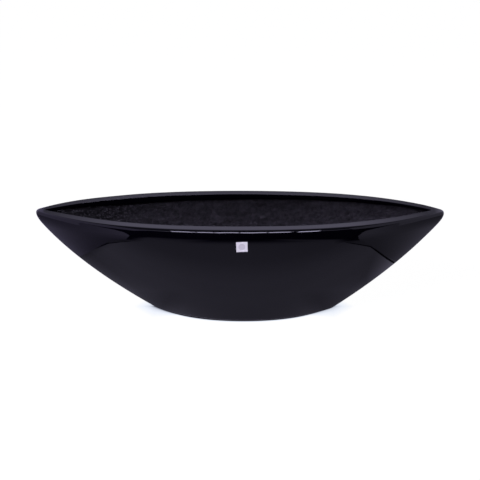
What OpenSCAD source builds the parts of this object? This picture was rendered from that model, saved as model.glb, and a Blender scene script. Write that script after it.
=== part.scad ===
// Boat-shaped vase: a double-walled vessel with pointed raked ends, a rolled rim and a rough inner trough.
// The length runs along X, the badge faces -Y and the feet stand on Z = 0. All sizes are in millimetres.

/* [Overall] */
// Overall length, tip to tip
length = 800; // [700:10:1000]
// Overall width across the shoulders
width = 235; // [210:5:280]
// Overall height from the ground to the top of the rim
height = 210; // [180:5:260]

/* [Hull] */
// Length of the flat sole
sole_length = 358; // [300:2:420]
// Width of the flat sole
sole_width = 140; // [120:2:170]
// How far the middle of the sole lies to the right of the middle of the rim
sole_shift = 9.5; // [0:0.5:16]
// Rounding along the edge of the sole
sole_edge_radius = 2.5; // [1:0.5:4]
// Radius of the sole's tips, seen from above
sole_tip_radius = 22; // [18:1:30]
// Fullness of the sole's outline: 0 is a plain parabola, more is flatter along the sides
sole_fullness = 0.12; // [0:0.02:0.4]
// Lean of the two stems from the vertical at the shoulder, in degrees
stem_rake = 38.5; // [30:0.5:42]
// Radius of the shoulder's tips, seen from above
shoulder_tip_radius = 19; // [16:1:26]
// Fullness of the shoulder's outline
shoulder_fullness = 0.47; // [0.3:0.01:0.6]
// Wall of the outer shell
shell_wall = 5; // [3:0.5:6]
// Thickness of the outer shell's sole
shell_sole = 6; // [4:0.5:9]

/* [Rim] */
// Height over which the wall rolls in to the rim
roll_depth = 26; // [22:1:32]
// How far the roll comes in along the sides
roll_side = 11; // [8:0.5:13]
// How far the roll comes in at the two tips
roll_tip = 15; // [12:0.5:20]
// Radius of the flat top's tips, seen from above
rim_tip_radius = 8; // [6:0.5:12]
// Width of the flat top along the sides
rim_flat = 21; // [19:0.5:26]
// Width of the flat top at the two tips
rim_flat_tip = 23; // [21:0.5:28]
// Depth of the rim moulding's outer skirt
skirt_depth = 16; // [13:0.5:20]
// Depth of the rim moulding's inner lip
lip_depth = 14; // [11:0.5:18]
// Wall of the rim moulding
rim_wall = 4; // [3:0.5:5]
// Rounding of the edge between the flat top and the lip
lip_edge_radius = 3; // [1:0.5:4]
// Radius of the opening's tips, seen from above
opening_tip_radius = 3; // [1:0.5:6]

/* [Trough] */
// Wall of the inner trough
trough_wall = 4; // [3:0.5:6]
// Thickness of the trough's floor
trough_floor = 4; // [3:0.5:8]
// Radius of the trough floor's tips, seen from above
trough_tip_radius = 14; // [8:1:22]
// Foam between the shell and the foot of the trough
foam_at_floor = 6; // [4:0.5:12]

/* [Base board] */
// Thickness of the stiffening board in the base
board_thickness = 10; // [6:1:15]

/* [Badge] */
// Width of the blank badge plate
badge_width = 21.5; // [15:0.5:35]
// Height of the blank badge plate
badge_height = 20; // [14:0.5:23]
// Thickness of the badge plate
badge_thickness = 0.8; // [0.5:0.1:2]
// Corner radius of the badge plate
badge_corner_radius = 0.8; // [0.4:0.1:3]
// How far the middle of the badge lies below the top of the rim
badge_drop = 29.5; // [29:0.5:60]
// How far the badge sits to the right of the middle
badge_shift = 3.5; // [-20:0.5:20]
// Turn of the badge on the hull, in degrees
badge_tilt = 2; // [-5:0.5:5]
// Thickness of the foam tape behind the badge
tape_thickness = 0.5; // [0.3:0.1:1.5]
// How far the tape stays inside the edge of the plate
tape_margin = 1.5; // [0.5:0.5:4]

/* [Feet] */
// Diameter of a felt foot pad
pad_diameter = 20; // [12:1:26]
// Thickness of a felt foot pad
pad_thickness = 2; // [1:0.5:4]
// Distance between the left and right pads of the two side rows
pad_row_spacing = 124; // [80:4:160]
// Distance from the widest edge of the sole in to the middle of a side row pad
pad_side_inset = 32; // [26:1:40]
// Distance from a tip of the sole in to the middle of an end pad
pad_end_inset = 48; // [40:1:70]

/* [Fits] */
// Glue line between bonded faces
bond_gap = 0.3; // [0.2:0.05:0.5]
// Room left above the edges that lap inside the rim moulding
lap_room = 2; // [1:0.5:4]
// Room around the edge of the base board
board_room = 0.5; // [0.3:0.1:2]
// Room between the badge's tape and the proudest point of the hull
tape_gap = 0.1; // [0.05:0.05:0.3]

/* [Hidden] */
PAD_NAMES = [
    "foot_pad_front_left", "foot_pad_front_right", "foot_pad_back_left", "foot_pad_back_right",
    "foot_pad_left_end", "foot_pad_right_end"
];

// Steps of the mesh along one side of an outline, round one tip, up a wall and round a rolled edge
side_steps = 24;
tip_steps = 6;
wall_steps = 11;
roll_steps = 8;
lap_steps = 2;
edge_angles = [0, 30, 60, 90];
// Smallest radius left at a tip when a wall is set in from an outline
least_tip_radius = 1;

// Levels, from the ground up
sole_z = pad_thickness;
floor_z = sole_z + shell_sole;
board_z = floor_z + bond_gap;
trough_base_z = board_z + board_thickness + bond_gap;
trough_floor_z = trough_base_z + trough_floor;
shoulder_z = height - roll_depth;
seam_z = height - skirt_depth;
lip_z = height - lip_depth;
lap_top_z = height - rim_wall - lap_room;
foam_top_z = height - rim_wall - bond_gap;
ledge_z = seam_z - bond_gap;
lap_inset = rim_wall + bond_gap;
// The shell steps in below its ledge over twice the depth of the step
joggle_z = ledge_z - 2 * lap_inset;

// Half sizes of the hull's shoulder; the roll carries the raked stems a little past it
rake_slope = tan(stem_rake);
shoulder_half_length = length / 2 - roll_tip * (norm([1, roll_depth * rake_slope / roll_tip]) - 1);
shoulder_half_width = width / 2;

// Share of the way from a top level down to a bottom level, 0 above the top
function fall(z, top, bottom) = max(0, top - z) / (top - bottom);

// Curve from a size at the bottom level to a size at the top level, which it reaches at the given slope
function flare(z, top, bottom, top_size, bottom_size, slope) =
    top_size - slope * (top - z)
    - (top_size - bottom_size - slope * (top - bottom)) * pow(fall(z, top, bottom), 2);

// Slope of that curve at a height
function flare_slope(z, top, bottom, top_size, bottom_size, slope) =
    slope + 2 * (top_size - bottom_size - slope * (top - bottom)) * fall(z, top, bottom) / (top - bottom);

function blend(from, to, share) = from + (to - from) * share;

// Share of the roll at the top of the wall: a quarter of an ellipse
function roll(z) = 1 - sqrt(max(0, 1 - pow(max(0, z - shoulder_z) / roll_depth, 2)));

// Sideways drift of every outline's middle: the sole is off centre and the rim is not
function drift(z) = sole_shift * pow(fall(z, shoulder_z, sole_z), 2);

// An outline is [half length, half width, tip radius, fullness]
function hull_outline(z) = let (down = fall(z, shoulder_z, sole_z)) [
    flare(z, shoulder_z, sole_z, shoulder_half_length, sole_length / 2, rake_slope) - roll_tip * roll(z),
    flare(z, shoulder_z, sole_z, shoulder_half_width, sole_width / 2, 0) - roll_side * roll(z),
    blend(shoulder_tip_radius, sole_tip_radius, down) - (shoulder_tip_radius - rim_tip_radius) * roll(z),
    blend(shoulder_fullness, sole_fullness, down)
];

function hull_slopes(z) = [
    flare_slope(z, shoulder_z, sole_z, shoulder_half_length, sole_length / 2, rake_slope),
    flare_slope(z, shoulder_z, sole_z, shoulder_half_width, sole_width / 2, 0)
];

// An outline grown by a wall's thickness; a leaning wall takes more room on the level
function grown(outline, wall, slopes = [0, 0]) = [
    outline[0] + wall * norm([1, slopes[0]]),
    outline[1] + wall * norm([1, slopes[1]]),
    max(outline[2] + wall, least_tip_radius),
    outline[3]
];

function hull_inside(z, depth) = grown(hull_outline(z), -depth, hull_slopes(z));

// Opening of the rim, and the trough that hangs behind its lip
rim_outline = hull_outline(height);
opening = [rim_outline[0] - rim_flat_tip, rim_outline[1] - rim_flat, opening_tip_radius, shoulder_fullness];
trough_top = grown(opening, lap_inset);
trough_foot = hull_inside(trough_floor_z, shell_wall + foam_at_floor + trough_wall + 2 * bond_gap);

function trough_outline(z) = let (down = fall(z, lip_z, trough_floor_z), level = min(z, lip_z)) [
    flare(level, lip_z, trough_floor_z, trough_top[0], trough_foot[0], rake_slope),
    flare(level, lip_z, trough_floor_z, trough_top[1], trough_foot[1], 0),
    blend(trough_top[2], trough_tip_radius, min(down, 1)),
    blend(shoulder_fullness, sole_fullness, min(down, 1))
];

function trough_slopes(z) = z >= lip_z ? [0, 0] : [
    flare_slope(z, lip_z, trough_floor_z, trough_top[0], trough_foot[0], rake_slope),
    flare_slope(z, lip_z, trough_floor_z, trough_top[1], trough_foot[1], 0)
];

function trough_outside(z, wall) = grown(trough_outline(z), wall, trough_slopes(z));

// Points of one long side of a lens, from its left tip to its right tip, on the +Y side
function lens_side(c, h, r, full) = [
    for (i = [0 : side_steps])
        let (s = sin(180 * i / side_steps - 90))
        let (slope = -h / c * (2 * (1 - full) * s + 4 * full * pow(s, 3)))
        let (out = [-slope, 1] / norm([slope, 1]))
        [c * s, h * (1 - (1 - full) * pow(s, 2) - full * pow(s, 4))] + r * out
];

// A pointed lens grown by its tip radius, anticlockwise from above
function lens(outline) =
    let (r = outline[2], c = outline[0] - r, h = outline[1] - r, full = outline[3])
    let (side = lens_side(c, h, r, full))
    let (tip_angle = atan2(1, h / c * (2 + 2 * full)))
    concat(
        [for (p = side) [p[0], -p[1]]],
        [for (i = [1 : tip_steps - 1]) let (t = blend(-tip_angle, tip_angle, i / tip_steps))
            [c + r * cos(t), r * sin(t)]],
        [for (i = [side_steps : -1 : 0]) side[i]],
        [for (i = [1 : tip_steps - 1]) let (t = blend(-tip_angle, tip_angle, i / tip_steps))
            [-c - r * cos(t), -r * sin(t)]]
    );

// An outline laid at a height
function ring(outline, z) = [for (p = lens(outline)) [p[0] + drift(z), p[1], z]];

// Evenly spaced levels from one height to another
function levels(from, to, steps) = [for (i = [0 : steps]) blend(from, to, i / steps)];

function joined(lists) = [for (list = lists) each list];

// Skin through a row of rings: closed on itself, or with a flat cap on the first and the last ring
module loft(rings, closed) {
    n = len(rings[0]);
    rows = len(rings);
    bands = [
        for (k = [0 : closed ? rows - 1 : rows - 2])
            for (i = [0 : n - 1])
                let (here = k * n, next = ((k + 1) % rows) * n, j = (i + 1) % n)
                each [[here + i, next + i, next + j], [here + i, next + j, here + j]]
    ];
    caps = closed ? [] : [[for (i = [0 : n - 1]) i], [for (i = [n - 1 : -1 : 0]) (rows - 1) * n + i]];
    polyhedron(points = joined(rings), faces = concat(bands, caps));
}

// Flat plate with rounded corners, its back on the XZ plane and its face towards -Y
module rounded_plate(plate_width, plate_height, thickness, corner) {
    rotate([90, 0, 0]) linear_extrude(thickness) {
        square([plate_width - 2 * corner, plate_height], center = true);
        square([plate_width, plate_height - 2 * corner], center = true);
        for (x = [-1, 1], y = [-1, 1])
            translate([x * (plate_width / 2 - corner), y * (plate_height / 2 - corner)])
                circle(r = corner, $fn = 32);
    }
}

// Levels that the shell, the foam and the board share on the inside of the hull
inner_levels = levels(floor_z, joggle_z, wall_steps);
lap_levels = levels(ledge_z, lap_top_z, lap_steps);
foam_levels = levels(trough_base_z, joggle_z, wall_steps);
trough_levels = levels(trough_base_z, lip_z - trough_wall, wall_steps);
trough_inner_levels = levels(trough_floor_z, lip_z - trough_wall, wall_steps);

// Gloss outer shell: flat sole, flared walls and an upstand that laps inside the rim
module outer_shell() {
    foot = [
        for (t = edge_angles)
            let (z = sole_z + sole_edge_radius * (1 - cos(t)))
            ring(grown(hull_outline(z), -sole_edge_radius * (1 - sin(t))), z)
    ];
    outside = [for (z = levels(sole_z + sole_edge_radius, ledge_z, wall_steps)) ring(hull_outline(z), z)];
    upstand = [for (z = lap_levels) ring(hull_inside(z, lap_inset), z)];
    upstand_back = [for (z = lap_levels) ring(hull_inside(z, lap_inset + shell_wall), z)];
    inside = [for (z = inner_levels) ring(hull_inside(z, shell_wall), z)];
    outer_wall = [for (i = [1 : wall_steps]) outside[i]];
    back = [for (i = [lap_steps : -1 : 0]) upstand_back[i]];
    inner_wall = [for (i = [wall_steps : -1 : 0]) inside[i]];
    color([0.06, 0.06, 0.07]) loft(joined([foot, outer_wall, upstand, back, inner_wall]), false);
}

// Gloss rim moulding: a channel with a rolled outer skirt, a flat top and a lip that hangs inside
module rim_moulding() {
    seam_angle = asin((seam_z - shoulder_z) / roll_depth);
    skirt = [
        for (t = levels(seam_angle, 90, roll_steps))
            let (z = shoulder_z + roll_depth * sin(t))
            ring(hull_outline(z), z)
    ];
    lip_edge = [
        for (t = edge_angles)
            let (z = height - lip_edge_radius * (1 - cos(t)))
            ring(grown(opening, lip_edge_radius * (1 - sin(t))), z)
    ];
    lip = [
        ring(opening, lip_z),
        ring(grown(opening, rim_wall), lip_z),
        ring(grown(opening, rim_wall), height - rim_wall)
    ];
    skirt_inside = [
        for (z = levels(height - rim_wall, seam_z, roll_steps))
            ring(hull_inside(z, rim_wall), z)
    ];
    color([0.07, 0.07, 0.08]) loft(joined([skirt, lip_edge, lip, skirt_inside]), true);
}

// Rough watertight trough: the vase's inside, lapped behind the lip of the rim
module inner_trough() {
    outside = [for (z = trough_levels) ring(trough_outside(z, trough_wall), z)];
    edge = [
        ring(grown(trough_top, trough_wall), lip_z),
        ring(grown(trough_top, trough_wall), lap_top_z),
        ring(trough_top, lap_top_z),
        ring(trough_top, lip_z)
    ];
    inside = [for (i = [wall_steps : -1 : 0]) ring(trough_outline(trough_inner_levels[i]), trough_inner_levels[i])];
    color([0.16, 0.15, 0.15]) loft(joined([outside, edge, inside]), false);
}

// Foam that fills the double wall from the base board up to the underside of the rim
module foam_core() {
    upstand_inset = lap_inset + shell_wall + bond_gap;
    outside = [for (z = foam_levels) ring(hull_inside(z, shell_wall + bond_gap), z)];
    behind_upstand = [for (z = lap_levels) ring(hull_inside(z, upstand_inset), z)];
    foam_trough_gap = trough_wall + bond_gap;
    top = [
        ring(hull_inside(lap_top_z, upstand_inset), foam_top_z),
        ring(grown(trough_top, foam_trough_gap), foam_top_z),
        ring(grown(trough_top, foam_trough_gap), lip_z)
    ];
    inside = [
        for (i = [wall_steps : -1 : 0])
            ring(trough_outside(trough_levels[i], foam_trough_gap), trough_levels[i])
    ];
    color([0.85, 0.78, 0.55]) loft(joined([outside, behind_upstand, top, inside]), true);
}

// Stiffening board bonded between the shell's sole and the trough's floor
module base_board() {
    color([0.72, 0.58, 0.40])
        translate([drift(floor_z), 0, board_z])
            linear_extrude(board_thickness)
                polygon(lens(hull_inside(floor_z, shell_wall + board_room)));
}

// The badge stands upright against the proudest point of the hull behind it
badge_z = height - badge_drop;
badge_proud_z = min(max(shoulder_z, badge_z - badge_height / 2), badge_z + badge_height / 2);
tape_back_y = -hull_outline(badge_proud_z)[1] - tape_gap;

// Blank metal badge plate on the front of the hull
module badge_plate() {
    color([0.82, 0.81, 0.85])
        translate([badge_shift, tape_back_y - tape_thickness, badge_z])
            rotate([0, -badge_tilt, 0])
                rounded_plate(badge_width, badge_height, badge_thickness, badge_corner_radius);
}

// Foam tape that holds the badge to the hull
module badge_tape() {
    color([0.9, 0.9, 0.88])
        translate([badge_shift, tape_back_y, badge_z])
            rotate([0, -badge_tilt, 0])
                rounded_plate(
                    badge_width - 2 * tape_margin, badge_height - 2 * tape_margin,
                    tape_thickness, badge_corner_radius
                );
}

// Middle of each felt pad under the sole
row_x = pad_row_spacing / 2;
row_y = sole_width / 2 - pad_side_inset;
end_x = sole_length / 2 - pad_end_inset;
PAD_PLACES = [[-row_x, -row_y], [row_x, -row_y], [-row_x, row_y], [row_x, row_y], [-end_x, 0], [end_x, 0]];

// Self-adhesive felt pad, one of six that carry the vase
module foot_pad(place) {
    color([0.2, 0.2, 0.21])
        translate([place[0] + sole_shift, place[1], 0])
            cylinder(d = pad_diameter, h = pad_thickness, $fn = 64);
}

outer_shell();
rim_moulding();
inner_trough();
foam_core();
base_board();
badge_plate();
badge_tape();
for (i = [0 : len(PAD_NAMES) - 1])
    foot_pad(PAD_PLACES[i]);
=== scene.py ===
"""Looks of the boat-shaped vase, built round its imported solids. Everything is in metres."""
from functools import partial, reduce

import bpy
import numpy as np
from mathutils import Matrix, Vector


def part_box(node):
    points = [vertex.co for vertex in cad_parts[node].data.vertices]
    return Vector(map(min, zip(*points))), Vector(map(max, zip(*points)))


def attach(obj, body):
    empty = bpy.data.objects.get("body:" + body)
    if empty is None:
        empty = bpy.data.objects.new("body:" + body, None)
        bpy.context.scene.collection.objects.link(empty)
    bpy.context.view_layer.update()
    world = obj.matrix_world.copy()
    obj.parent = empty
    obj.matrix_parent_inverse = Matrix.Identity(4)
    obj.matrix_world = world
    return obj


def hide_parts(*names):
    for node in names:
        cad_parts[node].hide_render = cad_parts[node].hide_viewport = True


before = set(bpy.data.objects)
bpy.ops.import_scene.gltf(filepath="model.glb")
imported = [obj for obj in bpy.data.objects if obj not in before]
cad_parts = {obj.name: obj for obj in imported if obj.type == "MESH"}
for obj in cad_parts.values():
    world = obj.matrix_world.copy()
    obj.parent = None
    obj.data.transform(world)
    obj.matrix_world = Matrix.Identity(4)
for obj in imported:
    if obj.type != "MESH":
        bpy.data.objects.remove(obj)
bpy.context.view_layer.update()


# Outer shell
# Gloss black shell of fibre-reinforced resin, laid up in a mould, sanded and lacquered: a flat sole, flared
# walls and two raked stems. It is widest at the shoulder and rolls in above it, and its top edge steps in
# to lap inside the rim moulding.
length = 0.800
width = 0.235
height = 0.210
sole_z = 0.002
sole_length = 0.358
sole_width = 0.140
sole_shift = 0.0095
sole_edge_radius = 0.0025
sole_tip_radius = 0.022
sole_fullness = 0.12
rake_slope = np.tan(np.radians(38.5))
shoulder_tip_radius = 0.019
shoulder_fullness = 0.47
shell_wall = 0.005
shell_sole = 0.006
roll_depth = 0.026
roll_side = 0.011
roll_tip = 0.015
rim_tip_radius = 0.008
rim_wall = 0.004
skirt_depth = 0.016
bond_gap = 0.0003
lap_room = 0.002
least_tip_radius = 0.001
shoulder_z = height - roll_depth
seam_z = height - skirt_depth
lap_top_z = height - rim_wall - lap_room
lap_inset = rim_wall + bond_gap
shoulder_half_length = length / 2 - roll_tip * (np.hypot(1, roll_depth * rake_slope / roll_tip) - 1)
# How the hull flares in length and in width: its two levels, the size at each and the slope at the upper one
long_flare = (shoulder_z, sole_z, shoulder_half_length, sole_length / 2, rake_slope)
side_flare = (shoulder_z, sole_z, width / 2, sole_width / 2, 0)
# No two ends of a hand-made shell are alike: the left one's back is fuller, and the right tip hangs a little
left_back_bulge = 0.004
left_back_reach = 0.16
right_tip_drop = 0.002
right_drop_start = 0.35
# Rings of the mesh. An extra one this close to a sharp edge keeps the smooth shading beside it true
support_gap = 0.0001
foot_steps = 8
wall_rows = 66
lap_rows = 3
inner_rows = 12


def fall(z, top, bottom):
    """Share of the way from the top level down to the bottom level, and 0 above the top."""
    return np.maximum(0, top - z) / (top - bottom)


def flare(z, top, bottom, top_size, bottom_size, slope):
    """Size that leaves the top level at a slope and bends by a square law to the size at the bottom level."""
    bend = top_size - bottom_size - slope * (top - bottom)
    return top_size - slope * (top - z) - bend * fall(z, top, bottom) ** 2


def flare_slope(z, top, bottom, top_size, bottom_size, slope):
    """Slope of the flare at a height: the derivative of its line and its square law."""
    bend = top_size - bottom_size - slope * (top - bottom)
    return slope + 2 * bend * fall(z, top, bottom) / (top - bottom)


def share(start, end, part):
    """Value that lies the given part of the way from start to end."""
    return start + (end - start) * part


def roll(z):
    """Share of the roll above the shoulder: a quarter of an ellipse."""
    return 1 - np.sqrt(np.maximum(0, 1 - (np.maximum(0, z - shoulder_z) / roll_depth) ** 2))


def hull_outline(z):
    """Rows of half length, half width, tip radius and fullness: flares below the shoulder, less the roll."""
    down = fall(z, shoulder_z, sole_z)
    tip_radius = share(shoulder_tip_radius, sole_tip_radius, down)
    return np.column_stack([
        flare(z, *long_flare) - roll_tip * roll(z),
        flare(z, *side_flare) - roll_side * roll(z),
        tip_radius - (shoulder_tip_radius - rim_tip_radius) * roll(z),
        share(shoulder_fullness, sole_fullness, down),
    ])


def grown(outline, wall, slopes=0.0):
    """Outline moved out by a wall's thickness, times the length of (1, slope) where the wall leans."""
    wall = np.broadcast_to(wall, len(outline))
    sides = outline[:, :2] + wall[:, None] * np.hypot(1, slopes)
    tips = np.maximum(outline[:, 2] + wall, least_tip_radius)
    return np.column_stack([sides, tips, outline[:, 3]])


def hull_inside(z, depth):
    """Outline of the hull set in by a depth that is measured square to its leaning wall."""
    slopes = np.column_stack([flare_slope(z, *long_flare), flare_slope(z, *side_flare)])
    return grown(hull_outline(z), -depth, slopes)


def lens_rings(outline, z, side_steps, tip_steps):
    """Rings of pointed lenses, anticlockwise from above. A side is y = h(1 - (1 - f)s^2 - f s^4) over
    x = c s, moved out along its normal by the tip radius, and a tip is an arc of that radius. Low rings
    drift to the right."""
    half_length, half_width, tip_radius, fullness = (column[:, None] for column in outline.T)
    reach = half_length - tip_radius
    bulge = half_width - tip_radius
    s = np.sin(np.linspace(-0.5, 0.5, side_steps + 1) * np.pi)
    slope = -bulge / reach * (2 * (1 - fullness) * s + 4 * fullness * s ** 3)
    steepness = np.hypot(1, slope)
    side_x = reach * s - tip_radius * slope / steepness
    side_y = bulge * (1 - (1 - fullness) * s ** 2 - fullness * s ** 4) + tip_radius / steepness
    turn = np.arctan2(1, bulge / reach * (2 + 2 * fullness)) * np.linspace(-1, 1, tip_steps + 1)[1:-1]
    tip_x = reach + tip_radius * np.cos(turn)
    tip_y = tip_radius * np.sin(turn)
    drift = sole_shift * fall(z, shoulder_z, sole_z)[:, None] ** 2
    x = np.hstack([side_x, tip_x, -side_x, -tip_x]) + drift
    y = np.hstack([-side_y, tip_y, side_y, -tip_y])
    return np.stack([x, y, np.broadcast_to(z[:, None], x.shape)], axis=-1)


def hump(t):
    """Smooth hump over the way t from 0 to 1: 27/4 t (1 - t)^2, which is 1 at a third of the way."""
    return 27 / 4 * t * (1 - t) ** 2


def hand_made(rings):
    """Rings with uneven ends. Over the way from the left tip the back moves out by a hump of the bulge, less
    towards the sole by a square law, and the right tip drops by a square law."""
    x, y, z = np.moveaxis(rings, -1, 0)
    way = np.clip((x - x.min(axis=1, keepdims=True)) / left_back_reach, 0, 1)
    bulge = left_back_bulge * hump(way) * (z / height) ** 2
    drop = right_tip_drop * np.clip((x - right_drop_start) / (length / 2 - right_drop_start), 0, 1) ** 2
    return np.stack([x, y + np.where(y > 0, bulge, 0), z - drop], axis=-1)


def edge_arc(radius, steps):
    """Rise and inset along a rounded edge, from its level end to its upright end: a quarter circle."""
    turn = np.linspace(0, np.pi / 2, steps + 1)
    return radius * (1 - np.cos(turn)), radius * (1 - np.sin(turn))


def ring_skin(name, rings, closed=False, sharp=(), uv=None):
    """Mesh of quads between neighbouring rings. A closed skin joins the last ring to the first, and an open
    one ends in fans to the middle of its end rings. uv holds one more column than the rings, for the join."""
    rows, columns = rings.shape[:2]
    points = rings.reshape(-1, 3)
    here = np.arange(rows if closed else rows - 1)[:, None]
    column = np.arange(columns)[None]
    above = (here + 1) % rows
    beside = (column + 1) % columns
    quads = np.stack([
        here * columns + column, here * columns + beside, above * columns + beside, above * columns + column,
    ], axis=-1).reshape(-1, 4)
    fans = np.empty((0, 3), int)
    if not closed:
        first_pole, last_pole = len(points), len(points) + 1
        points = np.vstack([points, rings[0].mean(0), rings[-1].mean(0)])
        last_row = (rows - 1) * columns
        i, j = column[0], beside[0]
        first_fan = np.column_stack([np.full(columns, first_pole), j, i])
        last_fan = np.column_stack([np.full(columns, last_pole), last_row + i, last_row + j])
        fans = np.vstack([first_fan, last_fan])
    mesh = bpy.data.meshes.new(name)
    mesh.vertices.add(len(points))
    mesh.vertices.foreach_set("co", points.astype(np.float32).ravel())
    corners = np.concatenate([quads.ravel(), fans.ravel()])
    mesh.loops.add(len(corners))
    mesh.loops.foreach_set("vertex_index", corners.astype(np.int32))
    starts = np.concatenate([np.arange(len(quads)) * 4, len(quads) * 4 + np.arange(len(fans)) * 3])
    mesh.polygons.add(len(starts))
    mesh.polygons.foreach_set("loop_start", starts.astype(np.int32))
    mesh.polygons.foreach_set("use_smooth", np.ones(len(starts), bool))
    mesh.update(calc_edges=True)
    if len(sharp):
        ends = np.empty(len(mesh.edges) * 2, np.int32)
        mesh.edges.foreach_get("vertices", ends)
        edge_rows = ends.reshape(-1, 2) // columns
        along = (edge_rows[:, 0] == edge_rows[:, 1]) & np.isin(edge_rows[:, 0], sharp)
        mesh.edges.foreach_set("use_edge_sharp", along)
    if uv is not None:
        quad_uv = np.stack([
            uv[here, column], uv[here, column + 1], uv[here + 1, column + 1], uv[here + 1, column],
        ], axis=-2).reshape(-1, 2)
        pole_uv = [uv[row].mean(0) for row in (0, -1)]
        first_uv = np.stack([np.tile(pole_uv[0], (columns, 1)), uv[0, 1:], uv[0, :-1]], axis=1)
        last_uv = np.stack([np.tile(pole_uv[1], (columns, 1)), uv[-1, :-1], uv[-1, 1:]], axis=1)
        layer = mesh.uv_layers.new(name="lay_up")
        all_uv = np.concatenate([quad_uv, first_uv.reshape(-1, 2), last_uv.reshape(-1, 2)])
        layer.data.foreach_set("uv", all_uv.astype(np.float32).ravel())
    piece = bpy.data.objects.new(name, mesh)
    bpy.context.scene.collection.objects.link(piece)
    return piece


def feed(node, inputs):
    """Fills inputs: a value is set, a socket is linked, and a node stands for its first enabled output."""
    for key, value in inputs.items():
        if isinstance(value, bpy.types.Node):
            value = next(output for output in value.outputs if output.enabled)
        if isinstance(value, bpy.types.NodeSocket):
            node.id_data.links.new(value, node.inputs[key])
        else:
            node.inputs[key].default_value = value


def add_node(tree, kind, inputs=None, **settings):
    """Adds a shader node of a kind to a tree, with its settings and inputs."""
    node = tree.nodes.new("ShaderNode" + kind)
    for key, value in settings.items():
        setattr(node, key, value)
    feed(node, inputs or {})
    return node


def add_math(add, operation, *values):
    """Adds a sum, product or other operation on the given values."""
    return add("Math", dict(enumerate(values)), operation=operation)


def add_range(add, value, limits):
    """Adds a straight run of a value: limits holds its two ends, and then what comes out at each."""
    keys = ("From Min", "From Max", "To Min", "To Max")
    return add("MapRange", {"Value": value, **dict(zip(keys, limits))})


def add_blend(add, factor, first, second):
    """Adds a colour that runs from a first to a second one by a factor."""
    return add("Mix", {"Factor": factor, 6: first, 7: second}, data_type="RGBA")


def new_material(name):
    """Empty node material: the material, its Principled shader, a function that adds a node to it, and the
    coordinates of its piece."""
    material = bpy.data.materials.new(name)
    material.use_nodes = True
    tree = material.node_tree
    place = add_node(tree, "TexCoord").outputs["Object"]
    return material, tree.nodes["Principled BSDF"], partial(add_node, tree), place


def new_group(name, inputs, outputs):
    """Empty shader group with named sockets: the group, what comes in, its end and a way to add a node."""
    group = bpy.data.node_groups.new(name, "ShaderNodeTree")
    for way, sockets in (("INPUT", inputs), ("OUTPUT", outputs)):
        for label, kind in sockets.items():
            group.interface.new_socket(label, in_out=way, socket_type="NodeSocket" + kind)
    entry = group.nodes.new("NodeGroupInput").outputs
    return group, entry, group.nodes.new("NodeGroupOutput"), partial(add_node, group)


def make_mottle_group():
    """Shader group for the uneven finish of every material: two scales of noise, mixed three to one, run from
    a first to a second colour and roughness, and come out as a height for bump as well."""
    group, entry, leave, add = new_group("mottled_finish", {
        "Vector": "Vector", "Scale": "Float",
        "Colour A": "Color", "Colour B": "Color", "Rough A": "Float", "Rough B": "Float",
    }, {"Color": "Color", "Roughness": "Float", "Height": "Float"})
    finer = add_math(add, "MULTIPLY", entry["Scale"], 5.3)
    broad = add("TexNoise", {"Vector": entry["Vector"], "Scale": entry["Scale"], "Detail": 2})
    fine = add("TexNoise", {"Vector": entry["Vector"], "Scale": finer, "Detail": 4})
    both = add("Mix", {"Factor": 0.25, "A": broad, "B": fine})
    spread = add_range(add, both, (0.3, 0.7, 0.0, 1.0))
    feed(leave, {
        "Color": add_blend(add, spread, entry["Colour A"], entry["Colour B"]),
        "Roughness": add("Mix", {"Factor": spread, "A": entry["Rough A"], "B": entry["Rough B"]}),
        "Height": both,
    })
    return group


mottle_group = make_mottle_group()


def mottled(add, vector, scale, colours, roughness):
    """Places the mottled finish in a material, over the given coordinates, and gives its outputs."""
    return add("Group", {
        "Vector": vector, "Scale": scale,
        "Colour A": (*colours[0], 1), "Colour B": (*colours[1], 1),
        "Rough A": roughness[0], "Rough B": roughness[1],
    }, node_tree=mottle_group).outputs


def gloss_lacquer():
    """Sprayed black lacquer: deep black, with long ripples from hand sanding, faint orange peel and dust."""
    material, shader, add, place = new_material("gloss_black_lacquer")
    black = mottled(add, place, 9.0, ((0.0005, 0.0004, 0.0012), (0.0009, 0.0007, 0.0018)), (0.02, 0.05))
    nibs = add("TexVoronoi", {"Vector": place, "Scale": 90.0, "Randomness": 1.0})
    dust = add_range(add, nibs, (0.035, 0.02, 0.0, 1.0))
    ripple = add("TexNoise", {"Vector": place, "Scale": 20.0, "Detail": 1.0, "Roughness": 0.4})
    peel = add("TexNoise", {"Vector": place, "Scale": 260.0, "Detail": 1.0})
    sanded = add("Bump", {"Height": ripple, "Strength": 1.0, "Distance": 0.0001})
    feed(shader, {
        "Base Color": add_blend(add, dust, black["Color"], (0.012, 0.012, 0.014, 1)),
        "Roughness": black["Roughness"],
        "Normal": add("Bump", {"Height": peel, "Normal": sanded, "Strength": 1.0, "Distance": 0.0000012}),
        "IOR": 1.45,
        "Specular IOR Level": 0.21,
    })
    return material


def dress(piece, material, slot, *nodes):
    """Gives a piece its material, lets it ride on the vase's one body and stand for its solids."""
    piece.data.materials.append(material)
    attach(piece, "root")
    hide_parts(*nodes)


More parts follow.
